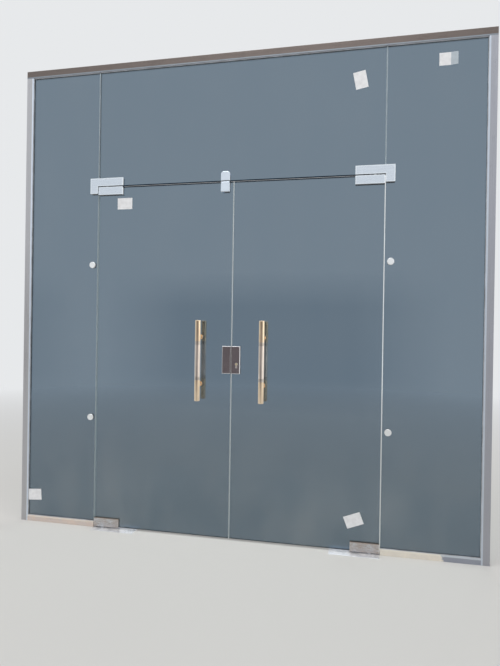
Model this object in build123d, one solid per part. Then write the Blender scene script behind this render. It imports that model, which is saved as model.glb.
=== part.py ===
from build123d import *
import os

os.makedirs("parts", exist_ok=True)

# Frameless glass entrance: two double-acting leaves under an overpanel, between two fixed sidelights,
# held in aluminium channels at the head, the jambs and the sills.
# X runs right as seen from outside, Y runs inwards, Z runs up. The origin is on the finished floor, at
# the line where the leaves meet, in the middle of the glass.

# Panes
glass = 12.0  # thickness of every pane
leaf_width = 872.0
leaf_height = 2130.0
overpanel_height = 753.0
left_sidelight_width = 500.0
right_sidelight_width = 565.0
floor_gap = 8.0  # from the floor to the leaves
pane_gap = 4.0  # between a leaf and each of its neighbours
arris = 1.0  # ground edge of the glass
seal_recess = 0.5  # how far the clear seal lies behind the faces of the glass

# Channels
channel_wall = 3.0
channel_leg = 45.0  # height of the head and jamb channels
sill_leg = 35.0  # height of the sill channels
glazing_gap = 3.5  # from the glass to the wall of a channel, filled by the gasket
edge_clearance = 8.0  # from the edge of the glass to the bottom of a channel
channel_corner = 1.0
gasket_base = 3.0  # gasket under the edge of the glass
gasket_proud = 3.0  # gasket that shows beyond the channel
block_length = 80.0  # setting blocks
block_play = 1.0  # from a block to the walls of its channel
fixing_radius = 3.25  # holes for the fixings to the building
fixing_inset = 120.0  # from the end of a channel to its outer hole
fixing_inner = 900.0  # between the inner two holes of a jamb or the head
block_inset = 60.0  # from the end of a sill to the middle of a block
jamb_block_inset = 320.0  # from the ends of a jamb to the middle of a block

# Patch fittings
patch_length = 164.0
patch_height = 51.0
patch_thickness = 32.0  # over both covers
corner_height = 98.0  # whole height of the L-shaped corner fitting
corner_leg = 51.0  # width of its leg on the sidelight
cover_wall = 1.2
cover_bevel = 1.4
cover_play = 0.3  # between a clamp and its cover
patch_gasket = 1.0
pivot_inset = 55.0  # from the heel edge of a leaf to its axis
notch_width = 58.0  # cut-out in the glass for the pivot block
notch_depth = 27.0
notch_corner = 8.0
notch_play = 1.0  # from the block to the cut-out
screw_spread = 20.0  # from the axis to each screw through the block
screw_rise = 14.0  # from the edge of the glass to those screws
screw_reach = 125.0  # from the heel edge to the screw through the glass
glass_hole_radius = 8.0
screw_radius = 3.0
screw_head_radius = 5.0
screw_head = 3.0
screw_play = 0.2
screw_bite = 5.0  # how far a screw reaches into the outer clamp
leg_screw_inset = 19.0  # from the ends of the leg to its screws

# Pivots
pin_radius = 5.5
pin_reach = 20.0  # into the leaf and into the overpanel fitting
pin_lead = 1.4  # bevel at the foot of the pin
running_play = 0.05  # radial play of a shaft in its bore
end_play = 0.3
journal_radius = 12.0
journal_depth = 34.0  # below the floor
collar_radius = 15.0
tongue_length = 21.6
tongue_width = 11.4
tongue_height = 18.0
tongue_play = 0.2

# Floor springs
cover_length = 280.0
cover_width = 130.0
cover_plate = 1.5
plate_bevel = 0.5
cover_heel = 55.0  # from the axis to the end of the cover plate by the sidelight
cover_hole_radius = 17.0
box_inset = 4.0  # from the edge of the cover plate to the box
box_depth = 51.5
box_wall = 1.5
spring_width = 84.0
spring_drop = 2.0  # from the floor to the top of the spring
spring_inset = 8.0  # from the ends of the box to the spring
spring_corner = 14.0
valve_radius = 5.0
valve_spread = 22.0
valve_rise = 1.2

# Pull handles
pull_x = 193.0  # from the meeting line to the pulls
pull_z = 1068.0
pull_length = 480.0
pull_radius = 16.0
pull_wall = 1.5
pull_standoff = 61.0  # from the middle of the glass to the axis of a pull
grip_length = 230.0
spigot_length = 12.0
spigot_play = 0.1
ring_inset = 3.5  # from the end of the middle tube to its first ring
ring_pitch = 7.0
ring_width = 2.2
ring_depth = 0.9
ring_count = 3
post_spread = 282.0  # between the two posts of a pull
post_radius = 9.0
foot_radius = 15.0
foot_height = 4.0
stud_radius = 4.0
stud_bite = 22.0  # how far a stud reaches into a post
cap_round = 3.0

# Lock and strike box
lock_z = 1074.0
lock_height = 164.0
lock_width = 52.0
lock_thickness = 36.0
lock_round = 2.5
lock_notch_depth = 44.0
lock_notch_height = 120.0
bolt_height = 22.0
bolt_thickness = 10.0
bolt_length = 40.0
bolt_travel = 18.0
bolt_play = 0.3
bolt_lead = 1.2  # bevel round the nose of the bolt
bolt_rise = 6.0  # from the middle of the lock to the middle of the bolt
plug_inset = 32.0  # from the meeting edge to the plug
plug_drop = 24.0  # from the middle of the lock to the plug
plug_radius = 6.5
plug_length = 12.0
keyway_width = 2.0
keyway_height = 8.0
keyway_depth = 3.0
barrel_radius = 8.5
barrel_tail = 24.0
barrel_width = 10.0
barrel_proud = 1.5
turn_radius = 13.0
turn_base = 3.0
turn_length = 30.0
turn_width = 8.0
turn_height = 16.0
turn_stem_radius = 5.0
turn_stem = 10.0
pocket_play = 1.5  # round the bolt in the strike box
pocket_spare = 4.3  # beyond the bolt at its full travel

# Top bolt and its keeper
top_bolt_x = -51.0
housing_width = 54.0
housing_height = 62.0
keeper_height = 57.0
housing_thickness = 36.0
housing_round = 4.0
housing_corner = 8.0
keeper_corner = 16.0
bolt_notch_width = 26.0
bolt_notch_depth = 42.0
keeper_notch_depth = 36.0
rod_radius = 5.0
rod_length = 34.0
rod_travel = 14.0
rod_lead = 1.0  # bevel at the top of the rod
keeper_play = 2.5  # round the rod in the keeper
knob_radius = 7.0
knob_height = 7.0
knob_round = 1.4
knob_stem_radius = 3.5
knob_rise = 10.0  # from the foot of the rod to its knob

# Round fixings on the sidelights
button_inset = 33.0  # from the edge by the doors
button_heights = (690.0, 1650.0)
button_radius = 19.5
button_thickness = 6.0
button_round = 2.0
button_pad = 1.0
button_stud_radius = 6.0
button_stud_play = 0.2
button_hole_radius = 7.0
button_bite = 3.0  # how far the stud reaches into the inner button

# Places worked out from the sizes
half_glass = glass / 2
stile_x = pane_gap / 2
heel_x = stile_x + leaf_width
side_x = heel_x + pane_gap
pivot_x = heel_x - pivot_inset
leaf_top = floor_gap + leaf_height
over_bottom = leaf_top + pane_gap
glass_top = over_bottom + overpanel_height
half_channel = half_glass + glazing_gap + channel_wall
rim = edge_clearance + channel_wall  # from the edge of the glass to the outside of a channel
head_top = glass_top + rim
head_lip = head_top - channel_leg
left_x = -(side_x + left_sidelight_width + rim)
right_x = side_x + right_sidelight_width + rim
patch_half = patch_thickness / 2
clamp_inset = cover_wall + cover_play
clamp_face = half_glass + patch_gasket
clamp_top = patch_half - cover_wall - cover_play
corner_top = over_bottom + patch_height
spring_top = -spring_drop


def block(x0, x1, y0, y1, z0, z1):
    """A box between two corners."""
    return Pos((x0 + x1) / 2, (y0 + y1) / 2, (z0 + z1) / 2) * Box(x1 - x0, y1 - y0, z1 - z0)


def rect(x0, x1, z0, z1):
    """A rectangle on the face of the glass."""
    return Pos((x0 + x1) / 2, (z0 + z1) / 2) * Rectangle(x1 - x0, z1 - z0)


def slab(outline, y0, y1):
    """An outline on the face of the glass, made solid from depth y0 to depth y1."""
    return extrude(Plane.XZ.offset(-y1) * outline, amount=y1 - y0)


def rod_y(x, z, radius, y0, y1):
    """A round bar along Y."""
    return Pos(x, (y0 + y1) / 2, z) * Rot(90, 0, 0) * Cylinder(radius, y1 - y0)


def rod_z(x, y, radius, z0, z1):
    """A round bar along Z."""
    return Pos(x, y, (z0 + z1) / 2) * Cylinder(radius, z1 - z0)


def across(solid):
    """The same solid on the left of the meeting line."""
    return mirror(solid, about=Plane.YZ)


def inside(solid):
    """The same solid on the inner face of the glass."""
    return mirror(solid, about=Plane.XZ)


def save(name, *solids):
    """Writes one node. Like pieces share a node as separate solids."""
    shape = solids[0] if len(solids) == 1 else Compound(children=list(solids))
    export_step(shape, f"parts/{name}.step")


# Channels


def channel(plane, length, leg, holes):
    """A U-shaped channel along a plane's normal, with fixing holes at these distances from its start."""
    outer = Pos(0, leg / 2) * Rectangle(2 * half_channel, leg)
    outer = fillet(outer.vertices(), channel_corner)
    inner = Pos(0, channel_wall + leg / 2) * Rectangle(2 * (half_channel - channel_wall), leg)
    bar = extrude(plane * (outer - inner), amount=length)
    drill = Rot(90, 0, 0) * Cylinder(fixing_radius, 2 * channel_wall)
    for place in holes:
        bar -= plane * Pos(0, channel_wall / 2, place) * drill
    return bar


def four_holes(length):
    """Two holes near the ends of a channel and two about its middle."""
    middle = length / 2
    return (fixing_inset, middle - fixing_inner / 2, middle + fixing_inner / 2, length - fixing_inset)


head_length = right_x - left_x
head_plane = Plane(origin=(left_x, 0, head_top), x_dir=(0, -1, 0), z_dir=(1, 0, 0))
save("head_channel", channel(head_plane, head_length, channel_leg, four_holes(head_length)))

right_jamb_plane = Plane(origin=(right_x, 0, 0), x_dir=(0, 1, 0), z_dir=(0, 0, 1))
left_jamb_plane = Plane(origin=(left_x, 0, 0), x_dir=(0, -1, 0), z_dir=(0, 0, 1))
save("right_jamb_channel", channel(right_jamb_plane, head_lip, channel_leg, four_holes(head_lip)))
save("left_jamb_channel", channel(left_jamb_plane, head_lip, channel_leg, four_holes(head_lip)))


def sill(side_width):
    """The sill channel under the right sidelight, from the doorway to the jamb channel."""
    length = side_width + rim - channel_leg
    plane = Plane(origin=(side_x, 0, 0), x_dir=(0, 1, 0), z_dir=(1, 0, 0))
    return channel(plane, length, sill_leg, (fixing_inset, length - fixing_inset))


save("right_sill_channel", sill(right_sidelight_width))
save("left_sill_channel", across(sill(left_sidelight_width)))


# Gaskets, setting blocks and seals


def side_gasket(side_width):
    """One gasket wrapped round the sill, jamb and head edges of the right sidelight."""
    edge = side_x + side_width
    depth = half_glass + glazing_gap
    wrap = block(side_x, edge + gasket_base, -depth, depth, rim - gasket_base, glass_top + gasket_base)
    pane = block(side_x, edge, -half_glass, half_glass, rim, glass_top)
    window_x = edge + rim - channel_leg - gasket_proud
    window = block(side_x, window_x, -depth, depth, sill_leg + gasket_proud, head_lip - gasket_proud)
    return wrap - pane - window


def over_gasket():
    """The gasket wrapped over the top edge of the overpanel."""
    depth = half_glass + glazing_gap
    wrap = block(-heel_x, heel_x, -depth, depth, head_lip - gasket_proud, glass_top + gasket_base)
    return wrap - block(-heel_x, heel_x, -half_glass, half_glass, head_lip - gasket_proud, glass_top)


save("right_sidelight_gasket", side_gasket(right_sidelight_width))
save("left_sidelight_gasket", across(side_gasket(left_sidelight_width)))
save("overpanel_gasket", over_gasket())


def setting_blocks(side_width):
    """Two blocks under the right sidelight and two behind its jamb edge."""
    depth = half_channel - channel_wall - block_play
    edge = side_x + side_width
    sill_end = edge + rim - channel_leg
    blocks = []
    for x in (side_x + block_inset, sill_end - block_inset):
        half = block_length / 2
        blocks.append(block(x - half, x + half, -depth, depth, channel_wall, rim - gasket_base))
    for z in (jamb_block_inset, head_lip - jamb_block_inset):
        half = block_length / 2
        blocks.append(block(edge + gasket_base, edge + edge_clearance, -depth, depth, z - half, z + half))
    return blocks


left_blocks = [across(solid) for solid in setting_blocks(left_sidelight_width)]
save("setting_blocks", *setting_blocks(right_sidelight_width), *left_blocks)

seal_depth = half_glass - seal_recess
butt_seal = block(heel_x, side_x, -seal_depth, seal_depth, corner_top, glass_top)
save("butt_seals", butt_seal, across(butt_seal))


# Glass


def pane(outline):
    """A pane with ground edges from its outline and cut-outs."""
    solid = slab(outline, -half_glass, half_glass)
    faces = solid.faces().filter_by(Axis.Y)
    edges = [edge for face in faces for edge in face.outer_wire().edges()]
    return chamfer(edges, arris)


def notch(x, z_edge, width, depth, play=0.0):
    """A cut-out open at the edge of the glass, down for a negative depth. With play, what fills it."""
    half = width / 2 - play
    far_z = z_edge + depth - play * depth / abs(depth)
    shape = rect(x - half, x + half, *sorted((z_edge, far_z)))
    far = [v for v in shape.vertices() if abs(v.Y - z_edge) > abs(depth) / 2]
    return fillet(far, notch_corner - play)


def lock_notch(play=0.0):
    """The cut-out in the meeting edge, or with play, what fills it."""
    far_x = stile_x + lock_notch_depth - play
    half = lock_notch_height / 2 - play
    shape = rect(stile_x, far_x, lock_z - half, lock_z + half)
    far = [v for v in shape.vertices() if v.X > (stile_x + far_x) / 2]
    return fillet(far, notch_corner - play)


def holes(radius, *places):
    """Round holes through a pane."""
    return [Pos(x, z) * Circle(radius) for x, z in places]


def cut(outline, shapes):
    """An outline less each of these shapes."""
    for shape in shapes:
        outline -= shape
    return outline


def leg_screw_heights():
    """The heights of the two screws in the leg of a corner fitting."""
    return (corner_top - corner_height + leg_screw_inset, corner_top - leg_screw_inset)


def sidelight(side_width):
    """The right sidelight."""
    outline = rect(side_x, side_x + side_width, rim, glass_top)
    leg_x = side_x + corner_leg / 2
    outline = cut(outline, holes(glass_hole_radius, *[(leg_x, z) for z in leg_screw_heights()]))
    buttons = [(side_x + button_inset, z) for z in button_heights]
    return pane(cut(outline, holes(button_hole_radius, *buttons)))


def overpanel():
    """The fixed pane over both leaves, with its notches for the pivots and the bolt keeper."""
    outline = rect(-heel_x, heel_x, over_bottom, glass_top)
    screw_z = over_bottom + patch_height / 2
    for side in (-1, 1):
        outline -= notch(side * pivot_x, over_bottom, notch_width, notch_depth)
        outline = cut(outline, holes(glass_hole_radius, (side * (heel_x - screw_reach), screw_z)))
    return pane(outline - notch(top_bolt_x, over_bottom, bolt_notch_width, keeper_notch_depth))


def leaf_outline():
    """The right leaf with its cut-outs for the patch fittings, the pulls and the lock side."""
    outline = rect(stile_x, heel_x, floor_gap, leaf_top)
    outline -= notch(pivot_x, leaf_top, notch_width, -notch_depth)
    outline -= notch(pivot_x, floor_gap, notch_width, notch_depth)
    reach_x = heel_x - screw_reach
    patch_holes = ((reach_x, leaf_top - patch_height / 2), (reach_x, floor_gap + patch_height / 2))
    pull_holes = ((pull_x, pull_z - post_spread / 2), (pull_x, pull_z + post_spread / 2))
    outline = cut(outline, holes(glass_hole_radius, *patch_holes, *pull_holes))
    return outline - lock_notch()


save("right_sidelight", sidelight(right_sidelight_width))
save("left_sidelight", across(sidelight(left_sidelight_width)))
save("overpanel", overpanel())
save("right_leaf_glass", pane(leaf_outline()))
bolt_notch = notch(-top_bolt_x, leaf_top, bolt_notch_width, -bolt_notch_depth)
save("left_leaf_glass", across(pane(leaf_outline() - bolt_notch)))


# Patch fittings


def patch_outline(z0, inset):
    """The face of a door patch whose lower edge is at z0."""
    return rect(heel_x - patch_length + inset, heel_x - inset, z0 + inset, z0 + patch_height - inset)


def corner_outline(inset):
    """The face of a corner fitting: an arm on the overpanel and a leg on the sidelight."""
    end_x = side_x + corner_leg - inset
    top = corner_top - inset
    arm = rect(heel_x - patch_length + inset, end_x, over_bottom + inset, top)
    return arm + rect(side_x + inset, end_x, corner_top - corner_height + inset, top)


def cover(outer, inner):
    """A clip-on cover: a shallow tray, open at the glass, bevelled round its face."""
    shell = slab(outer, -patch_half, -half_glass)
    front = shell.faces().sort_by(Axis.Y)[0]
    shell = chamfer(front.edges(), cover_bevel)
    return shell - slab(inner, -patch_half + cover_wall, -half_glass)


def patch_screws(z0, edge, rise):
    """Where the screws of a door patch or an overpanel arm go. edge is the edge of the glass."""
    places = [(pivot_x - screw_spread, edge + rise), (pivot_x + screw_spread, edge + rise)]
    return places + [(heel_x - screw_reach, z0 + patch_height / 2)]


def clamp(outline, core, places):
    """The outer and inner halves of a clamp. Each has half of the core that fills the cut-out."""
    outer = slab(outline, -clamp_top, -clamp_face)
    outer += slab(core & outline, -clamp_face, -half_glass) + slab(core, -half_glass, 0)
    inner = inside(outer)
    seat = clamp_top - screw_head - screw_play
    for x, z in places:
        outer -= rod_y(x, z, screw_radius + running_play, -clamp_face - screw_bite, 0)
        inner -= rod_y(x, z, screw_radius + screw_play, 0, clamp_top)
        inner -= rod_y(x, z, screw_head_radius + screw_play, seat, clamp_top)
    return outer, inner


def patch_gasket_pair(outline, opening, places):
    """The sheets between the glass and both halves of a clamp."""
    sheet = slab(outline - opening, -clamp_face, -half_glass)
    for x, z in places:
        sheet -= rod_y(x, z, screw_radius + screw_play, -clamp_face, 0)
    return sheet, inside(sheet)


def screws(places):
    """Clamp screws, put in from inside."""
    seat = clamp_top - screw_head - screw_play
    made = []
    for x, z in places:
        shank = rod_y(x, z, screw_radius, -clamp_face - screw_bite + end_play, seat)
        made.append(shank + rod_y(x, z, screw_head_radius, seat, seat + screw_head))
    return made


top_z = leaf_top - patch_height
top_places = patch_screws(top_z, leaf_top, -screw_rise)
bottom_places = patch_screws(floor_gap, floor_gap, screw_rise)
corner_places = patch_screws(over_bottom, over_bottom, screw_rise)
corner_places += [(side_x + corner_leg / 2, z) for z in leg_screw_heights()]
plays = (0, notch_play)
top_cut, top_core = [notch(pivot_x, leaf_top, notch_width, -notch_depth, play) for play in plays]
bottom_cut, bottom_core = [notch(pivot_x, floor_gap, notch_width, notch_depth, play) for play in plays]
corner_cut, corner_core = [notch(pivot_x, over_bottom, notch_width, notch_depth, play) for play in plays]

pin_top = over_bottom + pin_reach
pin_foot = leaf_top - pin_reach
pin_bore = rod_z(pivot_x, 0, pin_radius + running_play, pin_foot - end_play, pin_top + end_play)
socket = block(
    pivot_x - tongue_length / 2 - tongue_play,
    pivot_x + tongue_length / 2 + tongue_play,
    -tongue_width / 2 - tongue_play,
    tongue_width / 2 + tongue_play,
    floor_gap,
    floor_gap + tongue_height + tongue_play,
)

top_face = patch_outline(top_z, clamp_inset)
bottom_face = patch_outline(floor_gap, clamp_inset)
corner_face = corner_outline(clamp_inset)
top_clamp = [half - pin_bore for half in clamp(top_face, top_core, top_places)]
bottom_clamp = [half - socket for half in clamp(bottom_face, bottom_core, bottom_places)]
corner_clamp = [half - pin_bore for half in clamp(corner_face, corner_core, corner_places)]
top_cover = cover(patch_outline(top_z, 0), patch_outline(top_z, cover_wall))
bottom_cover = cover(patch_outline(floor_gap, 0), patch_outline(floor_gap, cover_wall))
corner_cover = cover(corner_outline(0), corner_outline(cover_wall))

for place, halves, shell in (
    ("top", top_clamp, top_cover),
    ("bottom", bottom_clamp, bottom_cover),
    ("corner", corner_clamp, corner_cover),
):
    save(f"right_{place}_clamp", *halves)
    save(f"left_{place}_clamp", *[across(half) for half in halves])
    save(f"right_{place}_covers", shell, inside(shell))
    save(f"left_{place}_covers", across(shell), across(inside(shell)))

corner_sheets = patch_gasket_pair(corner_face, corner_cut, corner_places)
corner_screws = screws(corner_places)
save("corner_screws", *corner_screws, *[across(screw) for screw in corner_screws])

pivot_pin = rod_z(pivot_x, 0, pin_radius, pin_foot, pin_top)
pivot_pin = chamfer(pivot_pin.edges().sort_by(Axis.Z)[0], pin_lead)
save("right_top_pivot", pivot_pin)
save("left_top_pivot", across(pivot_pin))


# Floor springs, under the floor on the right


def spindle():
    """Turns with the leaf: a journal in the spring, a collar and a tongue in the bottom clamp."""
    turned = rod_z(pivot_x, 0, journal_radius, -journal_depth, 0)
    turned += rod_z(pivot_x, 0, collar_radius, 0, floor_gap)
    x0, x1 = pivot_x - tongue_length / 2, pivot_x + tongue_length / 2
    side = tongue_width / 2
    return turned + block(x0, x1, -side, side, floor_gap, floor_gap + tongue_height)


cover_x1 = pivot_x + cover_heel
cover_x0 = cover_x1 - cover_length
box_x0 = cover_x0 + box_inset
box_x1 = cover_x1 - box_inset
box_half = cover_width / 2 - box_inset


def floor_cover():
    """The cover plate, with the hole for the spindle."""
    half = cover_width / 2
    plate = block(cover_x0, cover_x1, -half, half, 0, cover_plate)
    plate = chamfer(plate.faces().sort_by(Axis.Z)[-1].edges(), plate_bevel)
    return plate - rod_z(pivot_x, 0, cover_hole_radius, -cover_plate, 2 * cover_plate)


def floor_box():
    """The box set in the floor round the spring."""
    tray = block(box_x0, box_x1, -box_half, box_half, -box_depth, 0)
    side = box_half - box_wall
    return tray - block(box_x0 + box_wall, box_x1 - box_wall, -side, side, -box_depth + box_wall, 0)


def floor_spring():
    """The closed spring housing, with the bore for the spindle and two valve screws."""
    x0 = box_x0 + spring_inset
    x1 = box_x1 - spring_inset
    side = spring_width / 2
    body = block(x0, x1, -side, side, -box_depth + box_wall, spring_top)
    body = fillet(body.edges().filter_by(Axis.Z), spring_corner)
    for y in (-valve_spread, valve_spread):
        body += rod_z(x0 + valve_spread, y, valve_radius, spring_top, spring_top + valve_rise)
    return body - rod_z(pivot_x, 0, journal_radius + running_play, -journal_depth - end_play, spring_top)


for name, solid in (
    ("spindle", spindle()),
    ("floor_cover", floor_cover()),
    ("floor_box", floor_box()),
    ("floor_spring", floor_spring()),
):
    save(f"right_{name}", solid)
    save(f"left_{name}", across(solid))


# Pull handles on the right leaf, outside. The tubes are hollow and closed at their ends.

grip_bottom = pull_z - grip_length / 2
grip_top = pull_z + grip_length / 2
bore_radius = pull_radius - pull_wall
spigot_radius = bore_radius - spigot_play


def grip():
    """The middle tube, with rings turned near its ends and spigots that enter the end tubes."""
    z0, z1 = grip_bottom - spigot_length, grip_top + spigot_length
    tube = rod_z(pull_x, -pull_standoff, pull_radius, grip_bottom, grip_top)
    tube += rod_z(pull_x, -pull_standoff, spigot_radius, z0, z1)
    tube -= rod_z(pull_x, -pull_standoff, spigot_radius - pull_wall, z0, z1)
    half = ring_width / 2
    for ring in range(ring_count):
        inset = ring_inset + ring_pitch * ring
        for z in (grip_bottom + inset, grip_top - inset):
            band = rod_z(pull_x, -pull_standoff, pull_radius, z - half, z + half)
            tube -= band - rod_z(pull_x, -pull_standoff, pull_radius - ring_depth, z - half, z + half)
    return tube


def pull_end(upper):
    """An end tube, closed by its cap, with the post that carries it and the post's foot."""
    if upper:
        tip, inner_end = pull_z + pull_length / 2, grip_top
    else:
        tip, inner_end = pull_z - pull_length / 2, grip_bottom
    z0, z1 = sorted((tip, inner_end))
    tube = rod_z(pull_x, -pull_standoff, pull_radius, z0, z1)
    ends = tube.edges().filter_by(GeomType.CIRCLE).sort_by(Axis.Z)
    tube = fillet(ends[-1] if upper else ends[0], cap_round)
    post_z = pull_z + (post_spread / 2 if upper else -post_spread / 2)
    foot_face = -half_glass - patch_gasket
    body = tube + rod_y(pull_x, post_z, post_radius, -pull_standoff, foot_face)
    body += rod_y(pull_x, post_z, foot_radius, foot_face - foot_height, foot_face)
    if upper:
        body -= rod_z(pull_x, -pull_standoff, bore_radius, z0, z1 - pull_wall)
    else:
        body -= rod_z(pull_x, -pull_standoff, bore_radius, z0 + pull_wall, z1)
    return body - rod_y(pull_x, post_z, stud_radius + running_play, foot_face - stud_bite, foot_face)


ends = (pull_end(True), pull_end(False))
save("right_outer_grip", grip())
save("right_inner_grip", inside(grip()))
save("left_outer_grip", across(grip()))
save("left_inner_grip", across(inside(grip())))
save("right_outer_ends", *ends)
save("right_inner_ends", *[inside(end) for end in ends])
save("left_outer_ends", *[across(end) for end in ends])
save("left_inner_ends", *[across(inside(end)) for end in ends])

post_heights = (pull_z - post_spread / 2, pull_z + post_spread / 2)
stud_half = half_glass + patch_gasket + stud_bite - end_play
studs = [rod_y(pull_x, z, stud_radius, -stud_half, stud_half) for z in post_heights]


def washer(z):
    """The soft washer under the foot of a post."""
    ring = rod_y(pull_x, z, foot_radius, -half_glass - patch_gasket, -half_glass)
    return ring - rod_y(pull_x, z, stud_radius + running_play, -half_glass - patch_gasket, -half_glass)


washers = [washer(z) for z in post_heights]
washers += [inside(ring) for ring in washers]
leaf_sheets = [
    *patch_gasket_pair(top_face, top_cut, top_places),
    *patch_gasket_pair(bottom_face, bottom_cut, bottom_places),
    *washers,
]
save("right_leaf_gaskets", *leaf_sheets)
save("left_leaf_gaskets", *[across(sheet) for sheet in leaf_sheets])
leaf_screws = screws(top_places) + screws(bottom_places) + studs
save("right_leaf_screws", *leaf_screws)
save("left_leaf_screws", *[across(screw) for screw in leaf_screws])


# Lock on the right leaf and strike box on the left leaf

lock_half = lock_thickness / 2
bolt_z = lock_z + bolt_rise
plug_x = stile_x + plug_inset
plug_z = lock_z - plug_drop


def saddle(outline, core, half, rounding):
    """Two cheeks on the faces of the glass, joined by a core in its cut-out."""
    body = slab(outline, -half, half)
    faces = body.faces().sort_by(Axis.Y)
    body = fillet([*faces[0].edges(), *faces[-1].edges()], rounding)
    return body - slab(outline, -half_glass, half_glass) + slab(core, -half_glass, half_glass)


def lock_shape():
    """The plain case of the lock, which the strike box mirrors."""
    outline = rect(stile_x, stile_x + lock_width, lock_z - lock_height / 2, lock_z + lock_height / 2)
    return saddle(outline, lock_notch(notch_play), lock_half, lock_round)


def bolt_way(length, play):
    """The way for the dead bolt, from the meeting edge inwards."""
    height = bolt_height / 2 + play
    side = bolt_thickness / 2 + play
    return block(stile_x, stile_x + length, -side, side, bolt_z - height, bolt_z + height)


def lock_case():
    """The lock, with the barrel of its cylinder outside and the bore of its thumbturn inside."""
    barrel = Pos(plug_x, plug_z) * Circle(barrel_radius)
    barrel += rect(plug_x - barrel_width / 2, plug_x + barrel_width / 2, plug_z - barrel_tail, plug_z)
    case = lock_shape() + slab(barrel, -lock_half - barrel_proud, -lock_half)
    case -= bolt_way(end_play + bolt_length + end_play, bolt_play)
    face = -lock_half - barrel_proud
    case -= rod_y(plug_x, plug_z, plug_radius + running_play, face, face + plug_length + end_play)
    stem_end = lock_half - turn_stem - end_play
    return case - rod_y(plug_x, plug_z, turn_stem_radius + running_play, stem_end, lock_half)


def key_plug():
    """The plug that the key turns."""
    face = -lock_half - barrel_proud
    plug = rod_y(plug_x, plug_z, plug_radius, face, face + plug_length)
    x0, x1 = plug_x - keyway_width / 2, plug_x + keyway_width / 2
    half = keyway_height / 2
    return plug - block(x0, x1, face, face + keyway_depth, plug_z - half, plug_z + half)


def thumbturn():
    """The turn on the inner face: a stem, a round base and a blade."""
    base_face = lock_half + end_play
    turn = rod_y(plug_x, plug_z, turn_stem_radius, lock_half - turn_stem, base_face)
    turn += rod_y(plug_x, plug_z, turn_radius, base_face, base_face + turn_base)
    blade = Pos(plug_x, plug_z) * SlotOverall(turn_length, turn_width, rotation=90)
    return turn + slab(blade, base_face + turn_base, base_face + turn_base + turn_height)


def dead_bolt():
    """The bolt, drawn back into the lock."""
    x0 = stile_x + end_play
    half = bolt_height / 2
    side = bolt_thickness / 2
    bolt = block(x0, x0 + bolt_length, -side, side, bolt_z - half, bolt_z + half)
    return chamfer(bolt.faces().sort_by(Axis.X)[0].edges(), bolt_lead)


save("lock_case", lock_case())
save("key_plug", key_plug())
save("thumbturn", thumbturn())
save("dead_bolt", dead_bolt())
pocket_depth = bolt_travel - pane_gap + pocket_spare
save("strike_box", across(lock_shape() - bolt_way(pocket_depth, pocket_play)))


# Top bolt on the left leaf and its keeper on the overpanel

housing_half = housing_thickness / 2
rod_top = leaf_top - end_play
rod_foot = rod_top - rod_length
knob_z = rod_foot + knob_rise


def face_plate(z0, z1, corner, upper):
    """The face of the bolt housing or its keeper, with two round corners at one end."""
    outline = rect(top_bolt_x - housing_width / 2, top_bolt_x + housing_width / 2, z0, z1)
    corners = outline.vertices().sort_by(Axis.Y)
    return fillet(corners[2:] if upper else corners[:2], corner)


def bolt_housing():
    """The housing on the left leaf, with the bore of the rod and the slot of its knob."""
    outline = face_plate(leaf_top - housing_height, leaf_top, housing_corner, False)
    core = notch(top_bolt_x, leaf_top, bolt_notch_width, -bolt_notch_depth, notch_play)
    body = saddle(outline, core, housing_half, housing_round)
    body -= rod_z(top_bolt_x, 0, rod_radius + running_play, rod_foot - end_play, leaf_top)
    side = knob_stem_radius + bolt_play
    slot = rect(top_bolt_x - side, top_bolt_x + side, knob_z, knob_z + rod_travel)
    slot += Pos(top_bolt_x, knob_z) * Circle(side)
    slot += Pos(top_bolt_x, knob_z + rod_travel) * Circle(side)
    return body - slab(slot, 0, housing_half)


def bolt_keeper():
    """The keeper on the overpanel, with the socket that the rod enters."""
    outline = face_plate(over_bottom, over_bottom + keeper_height, keeper_corner, True)
    core = notch(top_bolt_x, over_bottom, bolt_notch_width, keeper_notch_depth, notch_play)
    body = saddle(outline, core, housing_half, housing_round)
    depth = rod_travel + rod_radius
    return body - rod_z(top_bolt_x, 0, rod_radius + keeper_play, over_bottom, over_bottom + depth)


def top_bolt():
    """The rod with the knob that slides it, drawn down into the housing."""
    rod = rod_z(top_bolt_x, 0, rod_radius, rod_foot, rod_top)
    rod = chamfer(rod.edges().filter_by(GeomType.CIRCLE).sort_by(Axis.Z)[-1], rod_lead)
    knob_face = housing_half + end_play
    rod += rod_y(top_bolt_x, knob_z, knob_stem_radius, 0, knob_face)
    knob = rod_y(top_bolt_x, knob_z, knob_radius, knob_face, knob_face + knob_height)
    knob = fillet(knob.edges().filter_by(GeomType.CIRCLE).sort_by(Axis.Y)[-1], knob_round)
    return rod + knob


save("bolt_housing", bolt_housing())
save("bolt_keeper", bolt_keeper())
save("top_bolt", top_bolt())


# Round fixings on the sidelights


def button(x, z):
    """An outer button with its stud through the glass, and the inner button that the stud screws into."""
    face = half_glass + button_pad
    cap = rod_y(x, z, button_radius, -face - button_thickness, -face)
    rims = cap.edges().filter_by(GeomType.CIRCLE).sort_by(Axis.Y)
    cap = fillet(rims[0], button_round)
    stud = rod_y(x, z, button_stud_radius, -face, face + button_bite)
    bore = rod_y(x, z, button_stud_radius + running_play, face, face + button_bite + end_play)
    return cap + stud, inside(cap) - bore


def button_pads(x, z):
    """The soft pads under a pair of buttons."""
    pad = rod_y(x, z, button_radius - button_round, -half_glass - button_pad, -half_glass)
    pad -= rod_y(x, z, button_stud_radius + button_stud_play, -half_glass - button_pad, -half_glass)
    return pad, inside(pad)


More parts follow.
